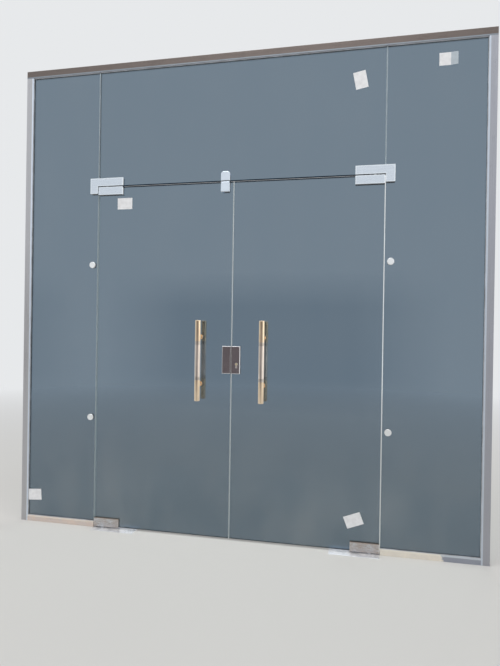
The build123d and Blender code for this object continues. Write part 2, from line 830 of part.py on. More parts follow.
buttons = []
pads = []
for z in button_heights:
    buttons += button(side_x + button_inset, z)
    pads += button_pads(side_x + button_inset, z)
save("sidelight_buttons", *buttons, *[across(solid) for solid in buttons])
fixed_sheets = [*corner_sheets, *pads]
save("fixed_fitting_gaskets", *fixed_sheets, *[across(sheet) for sheet in fixed_sheets])
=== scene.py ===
import math

import bmesh
import bpy
from mathutils import Matrix, Vector


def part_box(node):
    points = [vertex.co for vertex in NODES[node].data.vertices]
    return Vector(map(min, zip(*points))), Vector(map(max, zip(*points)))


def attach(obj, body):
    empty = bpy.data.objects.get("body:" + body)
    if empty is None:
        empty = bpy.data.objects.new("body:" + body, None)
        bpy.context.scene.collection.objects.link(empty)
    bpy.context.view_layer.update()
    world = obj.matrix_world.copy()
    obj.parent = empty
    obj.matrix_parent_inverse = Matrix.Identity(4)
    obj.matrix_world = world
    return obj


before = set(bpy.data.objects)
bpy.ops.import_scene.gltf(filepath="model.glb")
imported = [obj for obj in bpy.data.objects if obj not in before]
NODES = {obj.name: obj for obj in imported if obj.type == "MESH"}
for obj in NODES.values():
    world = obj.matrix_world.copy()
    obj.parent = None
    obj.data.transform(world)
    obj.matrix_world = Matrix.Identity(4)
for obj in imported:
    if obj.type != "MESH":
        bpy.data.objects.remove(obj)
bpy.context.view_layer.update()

bl_info = {
    "name": "Glass Entrance Door",
    "version": (1, 0, 0),
    "blender": (4, 5, 0),
    "location": "3D View > Sidebar > Door",
    "description": "Finishes a frameless glass entrance door and sets it on a studio floor",
    "category": "Object",
}

SIDES = ("left", "right")
# each pane, and the body that it rides on
PANES = {
    "left_sidelight": "frame",
    "right_sidelight": "frame",
    "overpanel": "frame",
    "left_leaf_glass": "left_leaf",
    "right_leaf_glass": "right_leaf",
}

# the camera, as fitted to edges of the photograph
PHOTO_LONG_SIDE = 666  # pixels, which the sensor's width spans
SENSOR_WIDTH = 36.0  # millimetres
CAMERA_PLACE = (0.7650, -3.0731, 1.2456)
CAMERA_RIGHT = (0.97794118, 0.20831671, 0.01533586)
CAMERA_UP = (-0.01560856, -0.00033475, 0.99987812)

# the studio, in metres
LAMP_AIM = (0.0, 0.0, 1.3)
FADE_START, FADE_END = 2.0, 9.0  # from the middle, where the floor goes over into the backdrop
CARD_RIM = 0.5  # soft share of a card, from its edge to its middle

# the dust on the sills; where it was wiped off the right sill, its edge also paints the edge of a cast
# shadow
DUSTY_SHARE = 0.615  # of the right sill, from the doorway to where it was wiped
WIPE_WANDER, WIPE_FADE = 0.02, 0.008  # metres that the wiped edge wanders and fades over

# shares of a label's width: from its middle to its bend, and the length of the bend
FOLDED_BEND = (0.08, 0.08)
LIFTED_BEND = (0.42, 0.06)

# how far a noise is stretched along each axis: a small number makes long lines
EVEN = (1.0, 1.0, 1.0)
LEVEL_LINES = (0.005, 1.0, 1.0)
UPRIGHT_LINES = (1.0, 1.0, 0.005)

# tones that aren't in the panel
WHITE = (1.0, 1.0, 1.0, 1.0)
SKYLIGHT = (0.97, 0.985, 1.0, 1.0)
PANE_SHADE = (0.88, 0.92, 0.92, 1.0)  # what one face of a pane lets through to other pieces
PANE_DUST = (0.72, 0.70, 0.66, 1.0)
# painted shade on the undersides of the covers
COVER_UNDERSIDE_SHADE = (0.07, 0.08, 0.09, 1.0)
# painted shade on the undersides of the bolt pieces
BOLT_UNDERSIDE_SHADE = (0.10, 0.12, 0.14, 1.0)
# painted shade in the seam where the lock's halves meet
LOCK_SEAM_SHADE = (0.26, 0.21, 0.21, 1.0)
BARREL_SATIN = (0.62, 0.57, 0.54, 1.0)
# grime and painted shade in the bottoms of the handles' rings
RING_GRIME_AND_SHADE = (0.05, 0.045, 0.04, 1.0)


# Sizes and colours that a user would change


def colour_property(name, description, default):
    """A colour in the panel."""
    return bpy.props.FloatVectorProperty(
        name=name, description=description, default=default, subtype="COLOR", size=3, min=0.0, max=1.0
    )


def length_property(name, description, default):
    """A length in the panel."""
    return bpy.props.FloatProperty(
        name=name, description=description, default=default, min=0.0, unit="LENGTH", precision=5
    )


def share_property(name, description, default):
    """A share from 0 to 1 in the panel."""
    return bpy.props.FloatProperty(
        name=name, description=description, default=default, min=0.0, max=1.0, subtype="FACTOR"
    )


class GlassLook(bpy.types.PropertyGroup):
    """Colours of the panes, their seals and gaskets."""

    # the tint is partly the glass's own green and partly painted shade: it is darker than clear glass, to
    # stand for a dark space behind the panes
    tint: colour_property("Tint", "What one face of a pane lets through", (0.405, 0.472, 0.528))
    edge: colour_property("Edge", "Ground upright edges of the panes", (0.52, 0.60, 0.62))
    # painted shade: the level edges of the panes get a near-black tone, while the upright edges stay milky
    shaded_edge: colour_property("Low edge", "Ground level edges of the panes", (0.010, 0.025, 0.045))
    # painted shade: an opaque dark band, this much wider than the seam where the leaves meet the overpanel
    seam_shade: length_property("Arris", "Dark band along the panes where leaves meet overpanel", 0.004)
    seal: colour_property("Seal", "Clear seal in the butt joints", (0.74, 0.84, 0.90))
    gasket: colour_property("Gasket", "Glazing gaskets in the channels", (0.46, 0.475, 0.51))
    dust: share_property("Dust", "How much fine dust lies on the panes near the floor", 0.10)


class MetalLook(bpy.types.PropertyGroup):
    """Colours and finishes of the metal pieces."""

    # the blue of the satin steel is a painted reflection of the sky
    satin: colour_property("Satin steel", "Patch covers and floor plates", (0.75, 0.82, 0.90))
    # painted highlight: the bright rim stands for the glint on a cover's bevel
    rim: colour_property("Rim", "Polished rim round the face of a cover", (0.88, 0.94, 1.0))
    rim_width: length_property("Rim width", "Width of the polished rim", 0.006)
    satin_roughness: share_property("Satin roughness", "Roughness of the satin steel", 0.27)
    chrome: colour_property("Chrome", "Lock and strike box", (0.84, 0.84, 0.86))
    # the blue of the bolt chrome is a painted reflection of the sky
    bolt_chrome: colour_property("Bolt chrome", "Top bolt, its housing and its keeper", (0.78, 0.86, 0.95))
    # the warmth of this chrome is a painted reflection of sunlit surroundings
    warm_chrome: colour_property("Warm chrome", "Middles of the pull handles", (0.86, 0.77, 0.69))
    gold: colour_property("Gold", "Ends of the pull handles", (0.86, 0.69, 0.50))
    aluminium: colour_property("Aluminium", "Channels round the panes", (0.50, 0.51, 0.55))
    # painted highlight: the brighter lip stands for the glint along the channels' edge by the glass
    lip: colour_property("Lip", "Edge of the channels by the glass", (0.70, 0.77, 0.86))
    lip_width: length_property("Lip width", "Width of the brighter edge of the channels", 0.009)


class LabelSizes(bpy.types.PropertyGroup):
    """The plain paper labels on the panes."""

    width: length_property("Width", "Longer side of a label", 0.098)
    height: length_property("Height", "Shorter side of a label", 0.070)
    thickness: length_property("Thickness", "Thickness of the paper", 0.0002)
    gap: length_property("Gap", "Glue between the paper and the glass", 0.0001)
    lift: bpy.props.FloatProperty(
        name="Lift", description="How far the end of a label turns up", default=math.radians(9.0),
        subtype="ANGLE"
    )
    paper: colour_property("Paper", "Colour of the labels", (0.93, 0.93, 0.945))
    # painted shade: the folded end of a label gets a bluish grey for the shade it turns into
    strip: colour_property("Strip", "Colour of the folded end of a label", (0.50, 0.56, 0.61))


class TrimSizes(bpy.types.PropertyGroup):
    """Small screws, and the collars of the top pivots."""

    plate_radius: length_property("Plate screw radius", "Head of a floor plate's screw", 0.0042)
    plate_inset: length_property("Plate screw inset", "From the end of a plate to its screw", 0.014)
    plate_height: length_property("Plate screw height", "Height of a floor plate's screw", 0.0012)
    grub_radius: length_property("Grub screw radius", "Screw that locks a handle's post", 0.002)
    grub_place: length_property("Grub screw place", "From mid-glass to a grub screw", 0.018)
    post_spread: length_property("Post spread", "Between the two posts of a pull handle", 0.282)
    post_radius: length_property("Post radius", "Radius of a post", 0.009)
    socket: share_property("Socket", "Width of the hexagon socket over that of the head", 0.5)
    collar_radius: length_property("Collar radius", "Collar round the pin of a top pivot", 0.013)
    collar_play: length_property("Collar play", "From a collar to the pin and to the fittings", 0.0004)


class StageSettings(bpy.types.PropertyGroup):
    """Floor, lights and camera."""

    floor_radius: length_property("Floor radius", "Radius of the round floor", 14.0)
    floor: colour_property("Floor", "Colour of the floor", (0.74, 0.725, 0.70))
    backdrop: colour_property("Backdrop", "Colour behind the door", (0.80, 0.815, 0.83))
    focal: bpy.props.FloatProperty(
        name="Focal length", description="In pixels of the photograph", default=529.7, min=1.0
    )
    lamp_radiance: bpy.props.FloatProperty(
        name="Lamp level", description="Brightness of the lamps, where 1 is white", default=1.07, min=0.0
    )
    ambient: share_property("Ambient", "Light from all round", 0.55)
    dark_card: colour_property(
        "Dark card", "Screen that gives polished pieces a dark band", (0.13, 0.11, 0.115)
    )
    grey_card: colour_property(
        "Grey card", "Screens that shade the sides of polished tubes", (0.34, 0.32, 0.30)
    )
    bright_card: bpy.props.FloatVectorProperty(
        name="Bright card", description="Screen that gives polished pieces a bright line",
        default=(3.4, 3.2, 2.9), subtype="COLOR", size=3, min=0.0, max=10.0
    )


# Materials


def rgba(colour, gain=1.0):
    """A colour as a node takes it, made brighter or darker by gain."""
    return (*(min(1.0, part * gain) for part in colour), 1.0)


class Recipe:
    """A material, or a world, in the making."""

    def __init__(self, name, kind=None):
        self.made = (bpy.data.materials if kind is None else kind).new(name)
        self.made.use_nodes = True
        self.tree = self.made.node_tree
        self.tree.nodes.clear()
        self.texture = None

    def add(self, kind, inputs=None, **settings):
        """Adds a node. Its inputs take plain values, outputs, or nodes for their first output."""
        node = self.tree.nodes.new(kind)
        for key, value in settings.items():
            setattr(node, key, value)
        for key, value in (inputs or {}).items():
            if isinstance(value, bpy.types.Node):
                value = value.outputs[0]
            if isinstance(value, bpy.types.NodeSocket):
                self.tree.links.new(value, node.inputs[key])
            else:
                node.inputs[key].default_value = value
        return node

    def own(self, output):
        """The piece's own coordinates, or its normal."""
        if self.texture is None:
            self.texture = self.add("ShaderNodeTexCoord")
        return self.texture.outputs[output]

    def parts(self, output):
        """The x, y and z of the piece's own coordinates or normal."""
        return self.add("ShaderNodeSeparateXYZ", {0: self.own(output)}).outputs

    def noise(self, scale, detail=3.0, stretch=EVEN):
        """Noise on the piece's own coordinates, in features per metre."""
        mapping = self.add("ShaderNodeMapping", {"Vector": self.own("Object"), "Scale": stretch})
        noise = self.add("ShaderNodeTexNoise", {"Vector": mapping, "Scale": scale, "Detail": detail})
        return noise.outputs["Fac"]

    def spread(self, value, low, high, start=0.3, end=0.7):
        """Spreads what lies between start and end, such as a noise, over the range from low to high."""
        return self.add(
            "ShaderNodeMapRange",
            {"Value": value, "From Min": start, "From Max": end, "To Min": low, "To Max": high},
        ).outputs[0]

    def math(self, operation, one, other=0.0):
        """Works out a number from one or two others."""
        return self.add("ShaderNodeMath", {0: one, 1: other}, operation=operation).outputs[0]

    def off(self, value, middle):
        """How far a value is from a middle, either way."""
        return self.math("ABSOLUTE", self.math("SUBTRACT", value, middle))

    def length(self, vector):
        """The length of a vector."""
        return self.add("ShaderNodeVectorMath", {0: vector}, operation="LENGTH").outputs["Value"]

    def blend(self, share, one, other):
        """Mixes two colours."""
        return self.add("ShaderNodeMix", {0: share, 6: one, 7: other}, data_type="RGBA").outputs[2]

    def mottled(self, noise, colour, darker, lighter):
        """A colour that a noise makes darker and lighter."""
        return self.blend(self.spread(noise, 0.0, 1.0), rgba(colour, darker), rgba(colour, lighter))

    def bump(self, height, strength, distance):
        """A relief, as deep as distance."""
        inputs = {"Height": height, "Strength": strength, "Distance": distance}
        return self.add("ShaderNodeBump", inputs).outputs[0]

    def level(self):
        """1 on the faces that look up or down."""
        return self.math("GREATER_THAN", self.math("ABSOLUTE", self.parts("Normal")[2]), 0.5)

    def under(self, limit=0.5):
        """1 on the faces that look down."""
        return self.math("LESS_THAN", self.parts("Normal")[2], -limit)

    def background_rays(self):
        """1 for the rays that show the background: those of the camera, mirrored or let through."""
        path = self.add("ShaderNodeLightPath").outputs
        passed_on = self.math("MAXIMUM", path["Is Glossy Ray"], path["Is Transmission Ray"])
        return self.math("MAXIMUM", path["Is Camera Ray"], passed_on)

    def mix(self, share, one, other):
        """Mixes two shaders."""
        return self.add("ShaderNodeMixShader", {0: share, 1: one, 2: other})

    def finish(self, shader, output="ShaderNodeOutputMaterial"):
        """Ends with a shader."""
        self.add(output, {"Surface": shader})
        return self.made

    def surface(self, inputs):
        """Ends with one Principled shader."""
        return self.finish(self.add("ShaderNodeBsdfPrincipled", inputs))


def brushed(recipe, colour, roughness, stretch, grain, lines=1400.0, wear=0.5, uneven=0.05):
    """Metal with fine lines drawn where stretch is small, cloudy roughness and slightly varied colour."""
    drawn = recipe.noise(lines, 3.0, stretch)
    broad = recipe.noise(lines / 5, 2.0, stretch)
    clouds = recipe.noise(9.0, 3.0)
    shade = recipe.math("MULTIPLY", recipe.spread(drawn, 0.0, 1.0), recipe.spread(broad, 0.4, 1.0))
    streaks = recipe.spread(drawn, -wear, wear, 0.2, 0.8)
    rough = recipe.math("ADD", streaks, recipe.spread(clouds, 0.9, 1.2))
    return {
        "Base Color": recipe.blend(shade, rgba(colour, 1.0 - uneven * 2), rgba(colour, 1.0 + uneven)),
        "Metallic": 1.0,
        "Roughness": recipe.math("MULTIPLY", rough, roughness),
        "Normal": recipe.bump(drawn, grain, 0.00005),
    }


def metal(name, colour, roughness, stretch, grain, **finish):
    """A material of brushed metal."""
    recipe = Recipe(name)
    return recipe.surface(brushed(recipe, colour, roughness, stretch, grain, **finish))


def under_dust(recipe, inputs, colour, least, most, wiped=None):
    """Ends with metal that shows between clouds of dry dust. Beyond wiped across it was wiped clean."""
    clean = recipe.add("ShaderNodeBsdfPrincipled", inputs)
    tone = recipe.mottled(recipe.noise(1500.0, 2.0), colour, 0.85, 1.12)
    dust = recipe.add("ShaderNodeBsdfPrincipled", {"Base Color": tone, "Roughness": 0.95})
    share = recipe.spread(recipe.noise(26.0, 5.0), least, most, 0.35, 0.7)
    if wiped:
        # on the right sill the wiped edge also paints the edge of a cast shadow
        ragged = recipe.spread(recipe.noise(60.0), -WIPE_WANDER, WIPE_WANDER)
        across = recipe.math("ADD", recipe.parts("Object")[0], ragged)
        left = recipe.spread(across, 1.0, 0.1, wiped - WIPE_FADE, wiped + WIPE_FADE)
        share = recipe.math("MULTIPLY", share, left)
    return recipe.finish(recipe.mix(share, clean, dust))


def cover_steel(recipe, look, areas, painted_shade):
    """Satin steel of a bevelled cover, with a painted highlight as a bright rim round its face, and a dark
    painted shade on the faces that its last argument marks.
    """
    inputs = brushed(recipe, look.satin, look.satin_roughness, (0.02, 1.0, 1.0), 0.3)
    place = recipe.parts("Object")
    across, up = recipe.math("ABSOLUTE", place[0]), place[2]
    depth = -1.0
    for low_x, high_x, low_z, high_z in areas:
        nearest = recipe.math("SUBTRACT", across, low_x)
        for one, other in ((high_x, across), (up, low_z), (high_z, up)):
            nearest = recipe.math("MINIMUM", nearest, recipe.math("SUBTRACT", one, other))
        depth = recipe.math("MAXIMUM", nearest, depth)
    # painted highlight: a bright rim round the face, standing for the glint on its bevel
    rim = recipe.spread(depth, 1.0, 0.0, look.rim_width * 0.8, look.rim_width)
    tone = recipe.blend(rim, inputs["Base Color"], rgba(look.rim))
    # painted shade: a dark tone on the faces that the last argument marks
    inputs["Base Color"] = recipe.blend(painted_shade, tone, COVER_UNDERSIDE_SHADE)
    return inputs


def channel_metal(recipe, look, gain, stretch, axis, edge):
    """Anodised aluminium with a painted highlight, a brighter lip, along its edge by the glass, which lies
    at edge on axis.
    """
    # gain paints the light or shade that each channel gets
    tone = [part * level for part, level in zip(look.aluminium, gain)]
    inputs = brushed(recipe, tone, 0.36, stretch, 0.15)
    away = recipe.off(recipe.parts("Object")[axis], edge)
    # painted highlight along the lip
    lip = recipe.spread(away, 1.0, 0.0, look.lip_width * 0.85, look.lip_width)
    lip_tone = rgba(look.lip, max(gain))
    inputs["Base Color"] = recipe.blend(lip, inputs["Base Color"], lip_tone)
    return inputs


def polished(recipe, colour, roughness):
    """Polished plating: clear reflections, faint cloudiness and hairline scratches."""
    clouds = recipe.noise(22.0, 4.0)
    hair = recipe.noise(600.0, 1.0, (1.0, 1.0, 0.03))
    return {
        "Base Color": recipe.mottled(clouds, colour, 0.94, 1.03),
        "Metallic": 1.0,
        "Roughness": recipe.spread(clouds, roughness * 0.7, roughness * 1.5),
        "Normal": recipe.bump(hair, 0.04, 0.00002),
    }


def plating(name, colour, roughness, shade_under=False):
    """Polished plating, with painted shade, a dark tone, on the faces that look down when asked."""
    recipe = Recipe(name)
    inputs = polished(recipe, colour, roughness)
    if shade_under:
        # painted shade: a dark tone on the faces that look down
        inputs["Base Color"] = recipe.blend(recipe.under(0.8), inputs["Base Color"], BOLT_UNDERSIDE_SHADE)
    return recipe.surface(inputs)


def lock_chrome(name, colour, meeting_x, barrel_y):
    """Polished chrome of the lock, with painted shade, a dark tone, where its halves meet, and a satin
    cylinder barrel.
    """
    recipe = Recipe(name)
    inputs = polished(recipe, colour, 0.06)
    place = recipe.parts("Object")
    across = recipe.math("ABSOLUTE", place[0])
    meeting = recipe.spread(across, 1.0, 0.0, meeting_x, meeting_x + 0.0005)
    barrel = recipe.math("LESS_THAN", place[1], barrel_y)
    # painted shade: a dark tone on the faces where the halves meet
    tone = recipe.blend(meeting, inputs["Base Color"], LOCK_SEAM_SHADE)
    inputs["Base Color"] = recipe.blend(barrel, tone, BARREL_SATIN)
    satin = recipe.math("MULTIPLY", recipe.math("MAXIMUM", meeting, barrel), 0.45)
    inputs["Roughness"] = recipe.math("MAXIMUM", inputs["Roughness"], satin)
    return recipe.surface(inputs)


def handle_chrome(name, colour, roughness, axis, radius):
    """Polished chrome on the upright tubes of the handles, with dark bottoms in their rings, which are
    grime and painted shade.
    """
    recipe = Recipe(name)
    place = recipe.parts("Object")
    across = recipe.math("SUBTRACT", recipe.math("ABSOLUTE", place[0]), axis[0])
    out = recipe.math("SUBTRACT", recipe.math("ABSOLUTE", place[1]), axis[1])
    reach = recipe.length(recipe.add("ShaderNodeCombineXYZ", {0: across, 1: out}))
    in_ring = recipe.spread(reach, 1.0, 0.0, radius - 0.0006, radius - 0.0002)
    inputs = polished(recipe, colour, roughness)
    # grime and painted shade in the ring grooves
    inputs["Base Color"] = recipe.blend(in_ring, inputs["Base Color"], RING_GRIME_AND_SHADE)
    return recipe.surface(inputs)


def clear_face(recipe, tint):
    """Tinted glass: the tint that the camera sees is partly the glass's own and partly painted shade from
    behind the pane. It hardly shades other pieces, and polished pieces reflect what lies beyond it.
    """
    path = recipe.add("ShaderNodeLightPath").outputs
    gloss = path["Is Glossy Ray"]
    soft = recipe.math("MAXIMUM", path["Is Shadow Ray"], path["Is Diffuse Ray"])
    tinted, shading, open_air = (
        recipe.add("ShaderNodeBsdfTransparent", {"Color": colour})
        for colour in (rgba(tint), PANE_SHADE, WHITE)
    )
    clear = recipe.mix(gloss, recipe.mix(soft, tinted, shading), open_air)
    shine = recipe.add("ShaderNodeBsdfAnisotropic", {"Color": WHITE, "Roughness": 0.015})
    # a twentieth is mirrored straight on, and nearly all at a grazing angle
    facing = recipe.add("ShaderNodeLayerWeight", {"Blend": 0.5}).outputs["Facing"]
    grazing = recipe.math("POWER", facing, 5.0)
    mirrored = recipe.add("ShaderNodeMath", {0: grazing, 1: 0.95, 2: 0.045}, operation="MULTIPLY_ADD")
    share = recipe.math("MULTIPLY", mirrored, recipe.math("SUBTRACT", 1.0, gloss))
    return recipe.mix(share, clear, shine)


def dusty(recipe, face, amount):
    """A veil of fine dust over a face, wiped here and there, and thinner above knee height."""
    low = recipe.spread(recipe.parts("Object")[2], 1.0, 0.12, 0.0, 0.7)
    wiped = recipe.spread(recipe.noise(3.5, 6.0, (1.0, 1.0, 0.6)), 0.0, amount, 0.42, 0.72)
    dust = recipe.add("ShaderNodeBsdfDiffuse", {"Color": PANE_DUST})
    return recipe.mix(recipe.math("MULTIPLY", low, wiped), face, dust)


def ground_edge(recipe, look, dark):
    """Ground glass, milky on the upright edges, and a near-black painted shade where dark is 1."""
    grain = recipe.noise(400.0, 2.0)
    bump = recipe.bump(grain, 0.2, 0.0001)
    milky = recipe.add(
        "ShaderNodeBsdfPrincipled",
        {
            "Base Color": recipe.blend(grain, rgba(look.edge, 0.9), rgba(look.edge, 1.1)),
            "Roughness": recipe.spread(grain, 0.3, 0.5),
            "Normal": bump,
        },
    )
    tone = recipe.blend(grain, rgba(look.shaded_edge, 0.8), rgba(look.shaded_edge, 1.2))
    return recipe.mix(dark, milky, recipe.add("ShaderNodeBsdfDiffuse", {"Color": tone, "Normal": bump}))


def pane_glass(name, look, seam=None):
    """Clear tinted glass on the faces, ground on the edges, with painted shade on the level edges and in a
    dark band along a level seam.
    """
    recipe = Recipe(name)
    on_face = recipe.math("GREATER_THAN", recipe.math("ABSOLUTE", recipe.parts("Normal")[1]), 0.9)
    # painted shade on the level edges
    dark = recipe.level()
    if seam:
        # painted shade: an opaque dark band over the faces beside the seam
        away = recipe.off(recipe.parts("Object")[2], sum(seam) / 2)
        seam_shade = recipe.math("LESS_THAN", away, (seam[1] - seam[0]) / 2 + look.seam_shade)
        on_face = recipe.math("MINIMUM", on_face, recipe.math("SUBTRACT", 1.0, seam_shade))
        dark = recipe.math("MAXIMUM", dark, seam_shade)
    face = dusty(recipe, clear_face(recipe, look.tint), look.dust)
    return recipe.finish(recipe.mix(on_face, ground_edge(recipe, look, dark), face))


def rubber(name, colour):
    """Rubber or nylon with a fine grain and a grey bloom."""
    recipe = Recipe(name)
    grain = recipe.noise(300.0, 3.0)
    return recipe.surface(
        {
            "Base Color": recipe.mottled(recipe.noise(14.0, 4.0), colour, 0.8, 1.35),
            "Roughness": recipe.spread(grain, 0.55, 0.75),
            "Normal": recipe.bump(grain, 0.15, 0.0002),
        }
    )


def clear_seal(name, colour, tint):
    """Cured clear sealant: tinted by the panes it joins, whose tint is partly painted shade, milky, glossy
    and slightly uneven.
    """
    recipe = Recipe(name)
    waves = recipe.noise(60.0, 2.0, (1.0, 1.0, 0.3))
    milky = recipe.noise(12.0, 3.0)
    body = recipe.add(
        "ShaderNodeBsdfPrincipled",
        {
            "Base Color": recipe.mottled(milky, colour, 0.92, 1.05),
            "Roughness": recipe.spread(waves, 0.2, 0.35),
            "Normal": recipe.bump(waves, 0.3, 0.0004),
        },
    )
    clear = recipe.add("ShaderNodeBsdfTransparent", {"Color": rgba(tint)})
    return recipe.finish(recipe.mix(recipe.spread(milky, 0.4, 0.55), clear, body))


def paint(name, colour, roughness):
    """Dull paint or plating on pieces under the floor."""
    recipe = Recipe(name)
    stains = recipe.noise(16.0, 5.0)
    return recipe.surface(
        {
            "Base Color": recipe.mottled(stains, colour, 0.75, 1.15),
            "Roughness": recipe.spread(stains, roughness * 0.85, roughness * 1.15),
            "Normal": recipe.bump(recipe.noise(260.0, 2.0), 0.2, 0.0003),
        }
    )


def paper(name, colour, strip=None, fold=0.0):
    """Matt label stock with fibres, a little grey where it was handled, and a bluish grey painted shade
    beyond the fold.
    """
    recipe = Recipe(name)
    fibres = recipe.noise(900.0, 4.0, (1.0, 1.0, 0.5))
    handled = recipe.noise(45.0, 4.0)
    tone = recipe.mottled(handled, colour, 0.9, 1.04)
    if strip:
        # painted shade beyond the fold
        beyond = recipe.math("GREATER_THAN", recipe.parts("Object")[0], fold)
        tone = recipe.blend(beyond, tone, recipe.mottled(handled, strip, 0.9, 1.06))
    return recipe.surface(
        {"Base Color": tone, "Roughness": 0.8, "Normal": recipe.bump(fibres, 0.25, 0.0001)}
    )


def finish_nodes(material, *names):
    """Gives CAD nodes a material."""
    for name in names:
        if name not in NODES:
            raise RuntimeError(f"no CAD node named {name}")
        materials = NODES[name].data.materials
        materials.clear()
        materials.append(material)


def both(*names):
    """The left and right nodes of these names."""
    return [f"{side}_{name}" for side in SIDES for name in names]


# Pieces


def show(name, form, material):
    """Puts a bmesh in the scene as an object with a material."""
    mesh = bpy.data.meshes.new(name)
    form.to_mesh(mesh)
    form.free()
    mesh.materials.append(material)
    thing = bpy.data.objects.new(name, mesh)
    bpy.context.scene.collection.objects.link(thing)
    return thing


def piece(name, mesh_maker, material, body):
    """Makes an object from a bmesh function, and lets it ride on a body."""
    form = bmesh.new()
    mesh_maker(form)
    thing = show(name, form, material)
    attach(thing, body)


def stand_up(form, width, height):
    """Sizes a flat grid of 1 by 1 and turns it upright."""
    bmesh.ops.scale(form, vec=(width, height, 1.0), verts=form.verts)
    quarter = Matrix.Rotation(math.pi / 2, 3, "X")
    bmesh.ops.rotate(form, cent=(0, 0, 0), matrix=quarter, verts=form.verts)


def label_maker(sizes, centre, angle, upright, folded):
    """A paper label on the outer face of a pane, turned by angle. Its right end lifts, or is folded up."""

    def make(form):
        width, height = sizes.width, sizes.height
        if upright:
            width, height = height, width
        bmesh.ops.create_grid(form, x_segments=24, y_segments=12, size=0.5)
        stand_up(form, width, height)
        start, fold = (share * width for share in (FOLDED_BEND if folded else LIFTED_BEND))
        turn = sizes.lift
        radius = fold / turn
        for vertex in form.verts:
            beyond = vertex.co.x - start
            if beyond > 0:
                bend = turn * min(1.0, beyond / fold)
                straight = max(0.0, beyond - fold)
                vertex.co.x = start + radius * math.sin(bend) + straight * math.cos(bend)
                vertex.co.y = -radius * (1 - math.cos(bend)) - straight * math.sin(bend)
        bmesh.ops.solidify(form, geom=form.faces[:], thickness=sizes.thickness)
        bmesh.ops.recalc_face_normals(form, faces=form.faces)
        turned = Matrix.Rotation(-angle, 3, "Y")
        bmesh.ops.rotate(form, cent=(0, 0, 0), matrix=turned, verts=form.verts)
        rear = max(v.co.y for v in form.verts)
        bmesh.ops.translate(form, vec=Vector(centre) - Vector((0, rear, 0)), verts=form.verts)

    return make


def add_screw(form, place, radius, height, socket):
    """Adds a low screw head with rounded rim and a hexagon socket, standing on z = 0 of its place."""
    head = bmesh.new()
    made = bmesh.ops.create_cone(
        head, cap_ends=True, segments=24, radius1=radius, radius2=radius, depth=height
    )
    bmesh.ops.translate(head, vec=(0, 0, height / 2), verts=made["verts"])
    top = max(head.faces, key=lambda face: face.calc_center_median().z)
    bmesh.ops.bevel(
        head, geom=top.edges[:], offset=height * 0.4, segments=2, profile=0.5, affect="EDGES", material=-1
    )
    top = max(head.faces, key=lambda face: (face.calc_center_median().z, face.calc_area()))
    bmesh.ops.inset_region(head, faces=[top], thickness=radius * 0.2, depth=0.0)
    # the inner ring of 24 points becomes a hexagon, whose corners lie 60 degrees apart
    for vertex in top.verts:
        turn = math.atan2(vertex.co.y, vertex.co.x) % (math.pi / 3) - math.pi / 6
        reach = radius * socket * math.cos(math.pi / 6) / math.cos(turn)
        vertex.co.xy = vertex.co.xy.normalized() * reach
    pushed = bmesh.ops.extrude_discrete_faces(head, faces=[top])["faces"][0]
    bmesh.ops.translate(head, vec=(0, 0, -height * 0.6), verts=pushed.verts)
    head.transform(place)
    mesh = bpy.data.meshes.new("head")
    head.to_mesh(mesh)
    head.free()
    form.from_mesh(mesh)
    bpy.data.meshes.remove(mesh)


def collar_maker(sizes, bore, middle, bottom, top):
    """A rounded collar with an upright bore, from bottom to top."""

    def make(form):
        radius = sizes.collar_radius
        corners = ((bore, bottom), (radius, bottom), (radius, top), (bore, top))
        profile = [form.verts.new((x, 0, z)) for x, z in corners]
        loop = [form.edges.new((profile[i - 1], profile[i])) for i in range(4)]
        bmesh.ops.spin(
            form, geom=profile + loop, axis=(0, 0, 1), cent=(0, 0, 0), angle=math.tau, steps=48,
            use_merge=True
        )
        bmesh.ops.recalc_face_normals(form, faces=form.faces)
        outer = [
            edge for edge in form.edges
            if all(vertex.co.xy.length > bore * 1.1 for vertex in edge.verts)
            and abs(edge.verts[0].co.z - edge.verts[1].co.z) < 1e-6
        ]
        bmesh.ops.bevel(
            form, geom=outer, offset=(top - bottom) * 0.45, segments=4, profile=0.5, affect="EDGES",
            material=-1
        )
        bmesh.ops.translate(form, vec=(middle, 0, 0), verts=form.verts)

    return make


class DOOR_OT_glass(bpy.types.Operator):
    """Tints the panes and frosts their ground edges"""

    bl_idname = "door.glass"
    bl_label = "Panes"

    def execute(self, context):
        look = context.scene.door_glass
        finish_nodes(pane_glass("tinted_glass", look), *both("sidelight"))
        seam = (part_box("right_leaf_glass")[1].z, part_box("overpanel")[0].z)
        finish_nodes(pane_glass("arrissed_glass", look, seam), "overpanel", *both("leaf_glass"))
        finish_nodes(clear_seal("cured_sealant", look.seal, look.tint), "butt_seals")
        return {"FINISHED"}


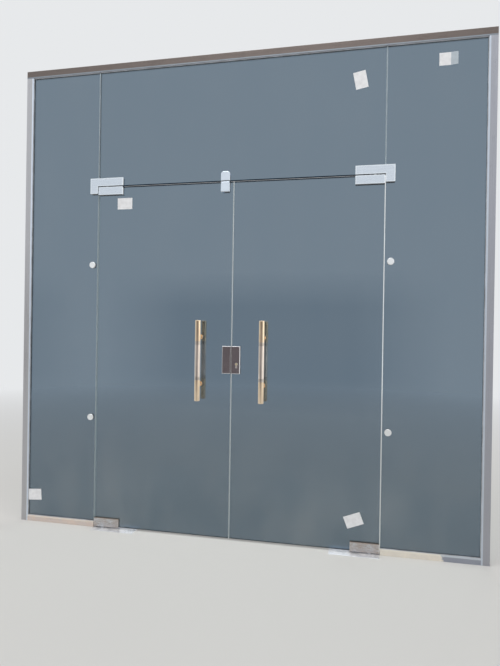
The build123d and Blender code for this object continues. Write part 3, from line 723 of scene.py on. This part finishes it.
class DOOR_OT_channels(bpy.types.Operator):
    """Finishes the aluminium channels, their gaskets and the setting blocks"""

    bl_idname = "door.channels"
    bl_label = "Channels"

    def execute(self, context):
        look = context.scene.door_metal
        # the gains paint light and shade: the head is darkened and browned for the shade it stands in,
        # with some dirt, the left jamb is lightened and the right jamb slightly darkened
        # node, gain of red, green and blue, drawn lines, axis across the lip, corner of the box at the lip
        for name, gain, lines, axis, corner in (
            ("head_channel", (0.40, 0.33, 0.28), LEVEL_LINES, 2, 0),
            ("left_jamb_channel", (1.12, 1.10, 1.06), UPRIGHT_LINES, 0, 1),
            ("right_jamb_channel", (0.90, 0.90, 0.92), UPRIGHT_LINES, 0, 0),
        ):
            recipe = Recipe(f"{name}_metal")
            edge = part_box(name)[corner][axis]
            finish_nodes(recipe.surface(channel_metal(recipe, look, gain, lines, axis, edge)), name)
        low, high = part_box("right_sill_channel")
        wiped = low.x + (high.x - low.x) * DUSTY_SHARE
        # node, gain, colour of the dust, least and most of it, where it was wiped off
        # the gains and dust tones paint light and shade: the left sill is lightened, the right sill's dust
        # lightened as if sunlit, and its wiped end darkened and blued as if shaded
        for name, gain, dust, least, most, clean in (
            ("left_sill_channel", (1.35, 1.3, 1.3), (0.84, 0.68, 0.56), 0.5, 0.85, None),
            ("right_sill_channel", (0.68, 0.74, 0.86), (0.97, 0.86, 0.75), 0.85, 1.0, wiped),
        ):
            recipe = Recipe(f"{name}_metal")
            inputs = channel_metal(recipe, look, gain, LEVEL_LINES, 2, high.z)
            finish_nodes(under_dust(recipe, inputs, dust, least, most, clean), name)
        gasket = rubber("glazing_gasket", context.scene.door_glass.gasket)
        finish_nodes(gasket, "overpanel_gasket", *both("sidelight_gasket"))
        finish_nodes(rubber("setting_block", (0.09, 0.10, 0.11)), "setting_blocks")
        return {"FINISHED"}


class DOOR_OT_patches(bpy.types.Operator):
    """Finishes the patch fittings, and slips a collar round each top pivot"""

    bl_idname = "door.patches"
    bl_label = "Patch Fittings"

    def execute(self, context):
        self.covers(context.scene.door_metal)
        cast = metal(
            "cast_clamp", (0.55, 0.56, 0.57), 0.5, EVEN, 0.8, lines=500.0, wear=0.3, uneven=0.1
        )
        finish_nodes(cast, *both("corner_clamp", "top_clamp", "bottom_clamp"))
        steel = metal("turned_steel", (0.62, 0.62, 0.63), 0.22, (0.1, 0.1, 3.0), 0.2)
        finish_nodes(steel, "corner_screws", *both("leaf_screws", "top_pivot", "spindle"))
        sheet = rubber("sheet_gasket", (0.07, 0.07, 0.075))
        finish_nodes(sheet, "fixed_fitting_gaskets", *both("leaf_gaskets"))
        self.collars(context.scene.door_trim)
        return {"FINISHED"}

    def covers(self, look):
        """The covers: an L at each corner, and a plate at the top and the bottom of each leaf."""
        low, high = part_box("right_top_covers")
        plate = (low.x, high.x, low.z, high.z)
        low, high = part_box("right_corner_covers")
        arm = (low.x, high.x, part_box("overpanel")[0].z, high.z)
        leg = (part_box("right_sidelight")[0].x, high.x, low.z, high.z)
        for place, areas in (("top", (plate,)), ("corner", (arm, leg))):
            recipe = Recipe(f"{place}_cover_steel")
            # painted shade on the undersides of the top and corner covers
            inputs = cover_steel(recipe, look, areas, recipe.under())
            finish_nodes(recipe.surface(inputs), *both(f"{place}_covers"))
        low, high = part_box("right_bottom_covers")
        plate = (low.x, high.x, low.z, high.z)
        recipe = Recipe("bottom_cover_steel")
        # painted shade on the tops and undersides of the bottom covers
        inputs = cover_steel(recipe, look, (plate,), recipe.level())
        # the brown dust is partly real dust and partly a painted reflection of the ground
        dirty = under_dust(recipe, inputs, (0.38, 0.29, 0.23), 0.45, 0.8)
        finish_nodes(dirty, *both("bottom_covers"))

    def collars(self, sizes):
        """A nylon collar round each top pivot, in the gap between its fittings."""
        nylon = rubber("collar_nylon", (0.72, 0.75, 0.78))
        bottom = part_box("right_leaf_glass")[1].z + sizes.collar_play
        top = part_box("overpanel")[0].z - sizes.collar_play
        for side in SIDES:
            low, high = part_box(f"{side}_top_pivot")
            bore = (high.x - low.x) / 2 + sizes.collar_play
            make = collar_maker(sizes, bore, (low.x + high.x) / 2, bottom, top)
            piece(f"{side}_pivot_collar", make, nylon, "frame")


class DOOR_OT_handles(bpy.types.Operator):
    """Finishes the pull handles, and adds the grub screws under their posts"""

    bl_idname = "door.handles"
    bl_label = "Pull Handles"

    def execute(self, context):
        look = context.scene.door_metal
        low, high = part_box("right_outer_grip")
        axis = ((low.x + high.x) / 2, abs(low.y + high.y) / 2)
        chrome = handle_chrome("handle_chrome", look.warm_chrome, 0.05, axis, (high.x - low.x) / 2)
        finish_nodes(chrome, *both("outer_grip", "inner_grip"))
        finish_nodes(plating("handle_gold", look.gold, 0.07), *both("outer_ends", "inner_ends"))
        steel = metal("grub_steel", (0.30, 0.29, 0.28), 0.3, EVEN, 0.1)
        for side in SIDES:
            self.grub_screws(side, context.scene.door_trim, steel)
        return {"FINISHED"}

    def grub_screws(self, side, sizes, steel):
        """A grub screw under each of the four posts on one leaf."""
        low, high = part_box(f"{side}_outer_ends")
        across, height = (low.x + high.x) / 2, (low.z + high.z) / 2
        sunk = sizes.grub_radius / 3
        proud = 0.0004

        def make(form):
            for y in (-sizes.grub_place, sizes.grub_place):
                for post in (-sizes.post_spread / 2, sizes.post_spread / 2):
                    foot = Matrix.Translation((across, y, height + post - sizes.post_radius + sunk))
                    head_down = foot @ Matrix.Rotation(math.pi, 4, "X")
                    add_screw(form, head_down, sizes.grub_radius, sunk + proud, sizes.socket)

        piece(f"{side}_grub_screws", make, steel, f"{side}_leaf")


class DOOR_OT_lock(bpy.types.Operator):
    """Finishes the lock, its strike box, the top bolt and the round fixings"""

    bl_idname = "door.lock"
    bl_label = "Lock and Bolt"

    def execute(self, context):
        look = context.scene.door_metal
        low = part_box("lock_case")[0]
        # the meeting face is the case's inner side, and the barrel stands proud of its front
        chrome = lock_chrome("lock_chrome", look.chrome, low.x + 0.0002, low.y + 0.0008)
        finish_nodes(chrome, "lock_case", "strike_box")
        finish_nodes(plating("turn_chrome", look.chrome, 0.06), "thumbturn")
        bright = plating("bolt_chrome", look.bolt_chrome, 0.10, shade_under=True)
        finish_nodes(bright, "bolt_housing", "bolt_keeper", "top_bolt")
        finish_nodes(plating("button_chrome", (0.93, 0.95, 0.96), 0.12), "sidelight_buttons")
        finish_nodes(plating("plug_brass", (0.86, 0.75, 0.50), 0.35), "key_plug")
        finish_nodes(metal("bolt_steel", (0.62, 0.62, 0.63), 0.2, (0.05, 1.0, 1.0), 0.2), "dead_bolt")
        return {"FINISHED"}


class DOOR_OT_floor_fittings(bpy.types.Operator):
    """Finishes the floor springs, and screws their cover plates down"""

    bl_idname = "door.floor_fittings"
    bl_label = "Floor Springs"

    def execute(self, context):
        look = context.scene.door_metal
        recipe = Recipe("floor_plate_steel")
        inputs = brushed(recipe, look.satin, look.satin_roughness, (0.03, 1.0, 1.0), 0.3)
        dirty = under_dust(recipe, inputs, (0.96, 0.92, 0.95), 0.3, 0.8)
        finish_nodes(dirty, *both("floor_cover"))
        finish_nodes(paint("spring_paint", (0.12, 0.14, 0.16), 0.5), *both("floor_spring"))
        finish_nodes(paint("zinc_plate", (0.42, 0.43, 0.44), 0.45), *both("floor_box"))
        steel = metal("screw_steel", (0.66, 0.66, 0.67), 0.25, EVEN, 0.1)
        for side in SIDES:
            self.plate_screws(side, context.scene.door_trim, steel)
        return {"FINISHED"}

    def plate_screws(self, side, sizes, steel):
        """A screw near each end of one cover plate, sunk a little into it."""
        low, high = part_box(f"{side}_floor_cover")
        sunk = 0.0002

        def make(form):
            for x in (low.x + sizes.plate_inset, high.x - sizes.plate_inset):
                foot = Matrix.Translation((x, 0, high.z - sunk))
                add_screw(form, foot, sizes.plate_radius, sizes.plate_height, sizes.socket)

        piece(f"{side}_plate_screws", make, steel, "frame")


class DOOR_OT_labels(bpy.types.Operator):
    """Sticks the plain paper labels on the panes"""

    bl_idname = "door.labels"
    bl_label = "Paper Labels"

    def execute(self, context):
        sizes = context.scene.door_labels
        plain = paper("label_paper", sizes.paper)
        # pane, centre across and up, angle in degrees, upright, folded
        for pane, x, z, angle, upright, folded in (
            ("left_sidelight", -1.298, 0.170, 4.0, False, False),
            ("overpanel", 0.732, 2.681, 11.0, True, False),
            ("right_sidelight", 1.203, 2.758, 0.5, False, True),
            ("left_leaf_glass", -0.697, 2.030, 0.0, False, False),
            ("right_leaf_glass", 0.729, 0.181, 21.0, False, False),
        ):
            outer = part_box(pane)[0].y - sizes.gap
            make = label_maker(sizes, (x, outer, z), math.radians(angle), upright, folded)
            if folded:
                mid_bend = x + sizes.width * (FOLDED_BEND[0] + FOLDED_BEND[1] / 2)
                stock = paper("folded_label_paper", sizes.paper, sizes.strip, mid_bend)
            else:
                stock = plain
            piece(f"{pane}_label", make, stock, PANES[pane])
        return {"FINISHED"}


class DOOR_OT_stage(bpy.types.Operator):
    """Lays the floor, and sets the lamps, the backdrop and the camera"""

    bl_idname = "door.stage"
    bl_label = "Studio"

    def execute(self, context):
        scene = context.scene
        stage = scene.door_stage
        scene.view_settings.view_transform = "Standard"
        self.floor(stage)
        self.backdrop(scene, stage)
        # name, place, width, height, brightness, mirrored in metal
        for name, place, width, height, level, mirrored in (
            ("overhead_lamp", (-0.5, -1.8, 6.4), 4.5, 3.0, 2.6, True),
            ("left_lamp", (-6.6, -4.2, 3.6), 2.4, 3.0, 2.4, False),
            ("right_lamp", (6.8, -3.2, 4.2), 2.4, 3.0, 1.6, False),
            ("rear_lamp", (1.5, 5.5, 6.4), 4.0, 2.4, 2.0, True),
        ):
            self.lamp(name, place, width, height, level * stage.lamp_radiance, mirrored)
        # name, place, width, height, turn about the vertical in degrees, colour
        for name, place, width, height, turn, colour in (
            ("dark_card", (-0.7, -5.0, 1.08), 5.4, 2.2, 0.0, stage.dark_card),
            ("left_card", (-5.4, -3.0, 1.08), 5.5, 2.2, -61.0, stage.grey_card),
            ("right_card", (4.2, -4.4, 1.08), 3.2, 2.2, 44.0, stage.grey_card),
            ("bright_card", (5.6, -0.7, 1.9), 1.4, 3.6, 83.0, stage.bright_card),
        ):
            self.card(name, place, width, height, turn, colour)
        self.camera(scene, stage)
        return {"FINISHED"}

    def floor(self, stage):
        """A round plain floor that goes over into the backdrop far out."""
        recipe = Recipe("studio_floor")
        lit = recipe.add("ShaderNodeBsdfDiffuse", {"Color": rgba(stage.floor)})
        far = recipe.add("ShaderNodeEmission", {"Color": rgba(stage.backdrop), "Strength": 1.0})
        faded = recipe.spread(recipe.length(recipe.own("Object")), 0.0, 1.0, FADE_START, FADE_END)
        share = recipe.math("MULTIPLY", recipe.background_rays(), faded)
        form = bmesh.new()
        bmesh.ops.create_circle(form, cap_ends=True, segments=96, radius=stage.floor_radius)
        floor = show("floor", form, recipe.finish(recipe.mix(share, lit, far)))

    def backdrop(self, scene, stage):
        """A plain pale world, whose light on the door is softer than what shows behind it."""
        recipe = Recipe("studio", bpy.data.worlds)
        shown = recipe.add("ShaderNodeBackground", {"Color": rgba(stage.backdrop)})
        light = recipe.add("ShaderNodeBackground", {"Color": SKYLIGHT, "Strength": stage.ambient})
        mix = recipe.mix(recipe.background_rays(), light, shown)
        scene.world = recipe.finish(mix, "ShaderNodeOutputWorld")

    def lamp(self, name, place, width, height, level, mirrored):
        """A flat lamp aimed at the door. Its face is as bright as level, where 1 is white."""
        light = bpy.data.lights.new(name, "AREA")
        light.shape = "RECTANGLE"
        light.size, light.size_y = width, height
        light.energy = level * math.pi * width * height
        lamp = bpy.data.objects.new(name, light)
        aim = (Vector(LAMP_AIM) - Vector(place)).to_track_quat("-Z", "Y")
        lamp.matrix_world = Matrix.Translation(place) @ aim.to_matrix().to_4x4()
        lamp.visible_camera = False
        lamp.visible_glossy = mirrored
        bpy.context.scene.collection.objects.link(lamp)

    def card(self, name, place, width, height, turn, colour):
        """A screen with soft edges, which only polished pieces show."""
        recipe = Recipe(name)
        spot = recipe.parts("Object")
        fades = []
        for axis, half in ((0, width / 2), (2, height / 2)):
            away = recipe.math("ABSOLUTE", spot[axis])
            fades.append(recipe.spread(away, 1.0, 0.0, half * (1 - CARD_RIM), half))
        shine = recipe.add("ShaderNodeEmission", {"Color": (*colour, 1.0)})
        clear = recipe.add("ShaderNodeBsdfTransparent")
        share = recipe.math("MULTIPLY", *fades)
        form = bmesh.new()
        bmesh.ops.create_grid(form, x_segments=1, y_segments=1, size=0.5)
        stand_up(form, width, height)
        card = show(name, form, recipe.finish(recipe.mix(share, clear, shine)))
        card.matrix_world = Matrix.Translation(place) @ Matrix.Rotation(math.radians(turn), 4, "Z")
        for ray in ("camera", "diffuse", "transmission", "shadow", "volume_scatter"):
            setattr(card, f"visible_{ray}", False)

    def camera(self, scene, stage):
        """Stands where the photograph was taken from."""
        data = bpy.data.cameras.new("photo_camera")
        data.sensor_width = SENSOR_WIDTH
        data.lens = stage.focal / PHOTO_LONG_SIDE * SENSOR_WIDTH
        right, up = Vector(CAMERA_RIGHT), Vector(CAMERA_UP)
        turn = Matrix((right, up, right.cross(up))).transposed().to_4x4()
        camera = bpy.data.objects.new("photo_camera", data)
        camera.matrix_world = Matrix.Translation(CAMERA_PLACE) @ turn
        bpy.context.scene.collection.objects.link(camera)
        scene.camera = camera


# Panel and registration


OPERATORS = (
    DOOR_OT_glass,
    DOOR_OT_channels,
    DOOR_OT_patches,
    DOOR_OT_handles,
    DOOR_OT_lock,
    DOOR_OT_floor_fittings,
    DOOR_OT_labels,
    DOOR_OT_stage,
)
GROUPS = {
    "door_glass": GlassLook,
    "door_metal": MetalLook,
    "door_labels": LabelSizes,
    "door_trim": TrimSizes,
    "door_stage": StageSettings,
}


class DOOR_PT_panel(bpy.types.Panel):
    """Lists the door's sizes and colours, and the buttons that make its pieces"""

    bl_idname = "DOOR_PT_panel"
    bl_label = "Glass Entrance Door"
    bl_space_type = "VIEW_3D"
    bl_region_type = "UI"
    bl_category = "Door"

    def draw(self, context):
        for name, group in GROUPS.items():
            box = self.layout.box()
            settings = getattr(context.scene, name)
            for key in group.__annotations__:
                box.prop(settings, key)
        for operator in OPERATORS:
            self.layout.operator(operator.bl_idname)


def register():
    for cls in (*GROUPS.values(), *OPERATORS, DOOR_PT_panel):
        bpy.utils.register_class(cls)
    for name, group in GROUPS.items():
        setattr(bpy.types.Scene, name, bpy.props.PointerProperty(type=group))


def unregister():
    for name in GROUPS:
        delattr(bpy.types.Scene, name)
    for cls in (DOOR_PT_panel, *reversed(OPERATORS), *reversed(GROUPS.values())):
        bpy.utils.unregister_class(cls)


def main():
    register()
    for operator in OPERATORS:
        category, name = operator.bl_idname.split(".")
        getattr(getattr(bpy.ops, category), name)()


if __name__ == "__main__":
    main()
